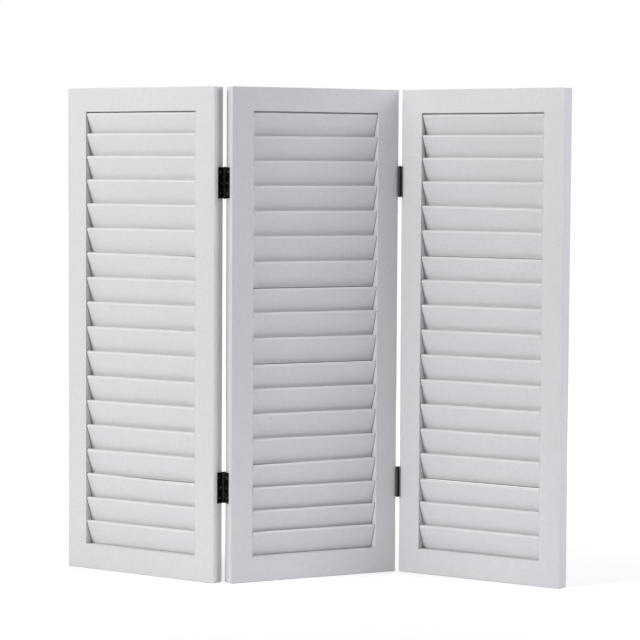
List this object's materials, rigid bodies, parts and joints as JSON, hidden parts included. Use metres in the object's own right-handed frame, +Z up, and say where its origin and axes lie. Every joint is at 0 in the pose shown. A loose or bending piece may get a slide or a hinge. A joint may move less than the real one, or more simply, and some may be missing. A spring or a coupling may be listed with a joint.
{
  "type": "folding screen",
  "caption": "Free-standing folding screen of three hinged, framed panels filled with fixed slanted louvres, painted white, with black butt hinges.",
  "frame": {"origin": "middle of the centre panel's underside, on the floor", "axes": "+Z up, -Y towards the viewer of the louvres' nosed front, +X to the viewer's right; the centre panel is turned 26 degrees about +Z"},
  "size_m": [1.04, 0.2714, 1.016],
  "materials": {
    "painted_frame": "satin white paint on wood",
    "painted_louvre": "satin white paint on wood",
    "dowel_wood": "bare beech",
    "black_hinge_steel": "satin black coated steel"
  },
  "bodies": {
    "centre_panel": {"centre_panel_left_stile": "painted_frame", "centre_panel_right_stile": "painted_frame", "centre_panel_top_rail": "painted_frame", "centre_panel_bottom_rail": "painted_frame", "centre_panel_dowels": "dowel_wood", "centre_panel_louvres_01_02": "painted_louvre", "centre_panel_louvres_03_04": "painted_louvre", "centre_panel_louvres_05_06": "painted_louvre", "centre_panel_louvres_07_08": "painted_louvre", "centre_panel_louvres_09_10": "painted_louvre", "centre_panel_louvres_11_12": "painted_louvre", "centre_panel_louvres_13_14": "painted_louvre", "centre_panel_louvres_15_16": "painted_louvre", "centre_panel_louvres_17_18": "painted_louvre", "left_lower_hinge_centre_leaf": "black_hinge_steel", "left_lower_hinge_pin": "black_hinge_steel", "left_upper_hinge_centre_leaf": "black_hinge_steel", "left_upper_hinge_pin": "black_hinge_steel", "right_lower_hinge_centre_leaf": "black_hinge_steel", "right_lower_hinge_pin": "black_hinge_steel", "right_upper_hinge_centre_leaf": "black_hinge_steel", "right_upper_hinge_pin": "black_hinge_steel", "left_hinge_screws_centre_panel": "black_hinge_steel", "right_hinge_screws_centre_panel": "black_hinge_steel"},
    "left_panel": {"left_panel_left_stile": "painted_frame", "left_panel_right_stile": "painted_frame", "left_panel_top_rail": "painted_frame", "left_panel_bottom_rail": "painted_frame", "left_panel_dowels": "dowel_wood", "left_panel_louvres_01_02": "painted_louvre", "left_panel_louvres_03_04": "painted_louvre", "left_panel_louvres_05_06": "painted_louvre", "left_panel_louvres_07_08": "painted_louvre", "left_panel_louvres_09_10": "painted_louvre", "left_panel_louvres_11_12": "painted_louvre", "left_panel_louvres_13_14": "painted_louvre", "left_panel_louvres_15_16": "painted_louvre", "left_panel_louvres_17_18": "painted_louvre", "left_lower_hinge_side_leaf": "black_hinge_steel", "left_upper_hinge_side_leaf": "black_hinge_steel", "left_hinge_screws_left_panel": "black_hinge_steel"},
    "right_panel": {"right_panel_left_stile": "painted_frame", "right_panel_right_stile": "painted_frame", "right_panel_top_rail": "painted_frame", "right_panel_bottom_rail": "painted_frame", "right_panel_dowels": "dowel_wood", "right_panel_louvres_01_02": "painted_louvre", "right_panel_louvres_03_04": "painted_louvre", "right_panel_louvres_05_06": "painted_louvre", "right_panel_louvres_07_08": "painted_louvre", "right_panel_louvres_09_10": "painted_louvre", "right_panel_louvres_11_12": "painted_louvre", "right_panel_louvres_13_14": "painted_louvre", "right_panel_louvres_15_16": "painted_louvre", "right_panel_louvres_17_18": "painted_louvre", "right_lower_hinge_side_leaf": "black_hinge_steel", "right_upper_hinge_side_leaf": "black_hinge_steel", "right_hinge_screws_right_panel": "black_hinge_steel"}
  },
  "joints": [
    {"name": "left_fold", "type": "hinge", "parent": "centre_panel", "child": "left_panel", "pos_m": [-0.18079, -0.06731, 0.508], "axis": [0, 0, -1], "range_deg": [-59, 121]},
    {"name": "right_fold", "type": "hinge", "parent": "centre_panel", "child": "right_panel", "pos_m": [0.18079, 0.06731, 0.508], "axis": [0, 0, -1], "range_deg": [-58.5, 121.5]}
  ]
}
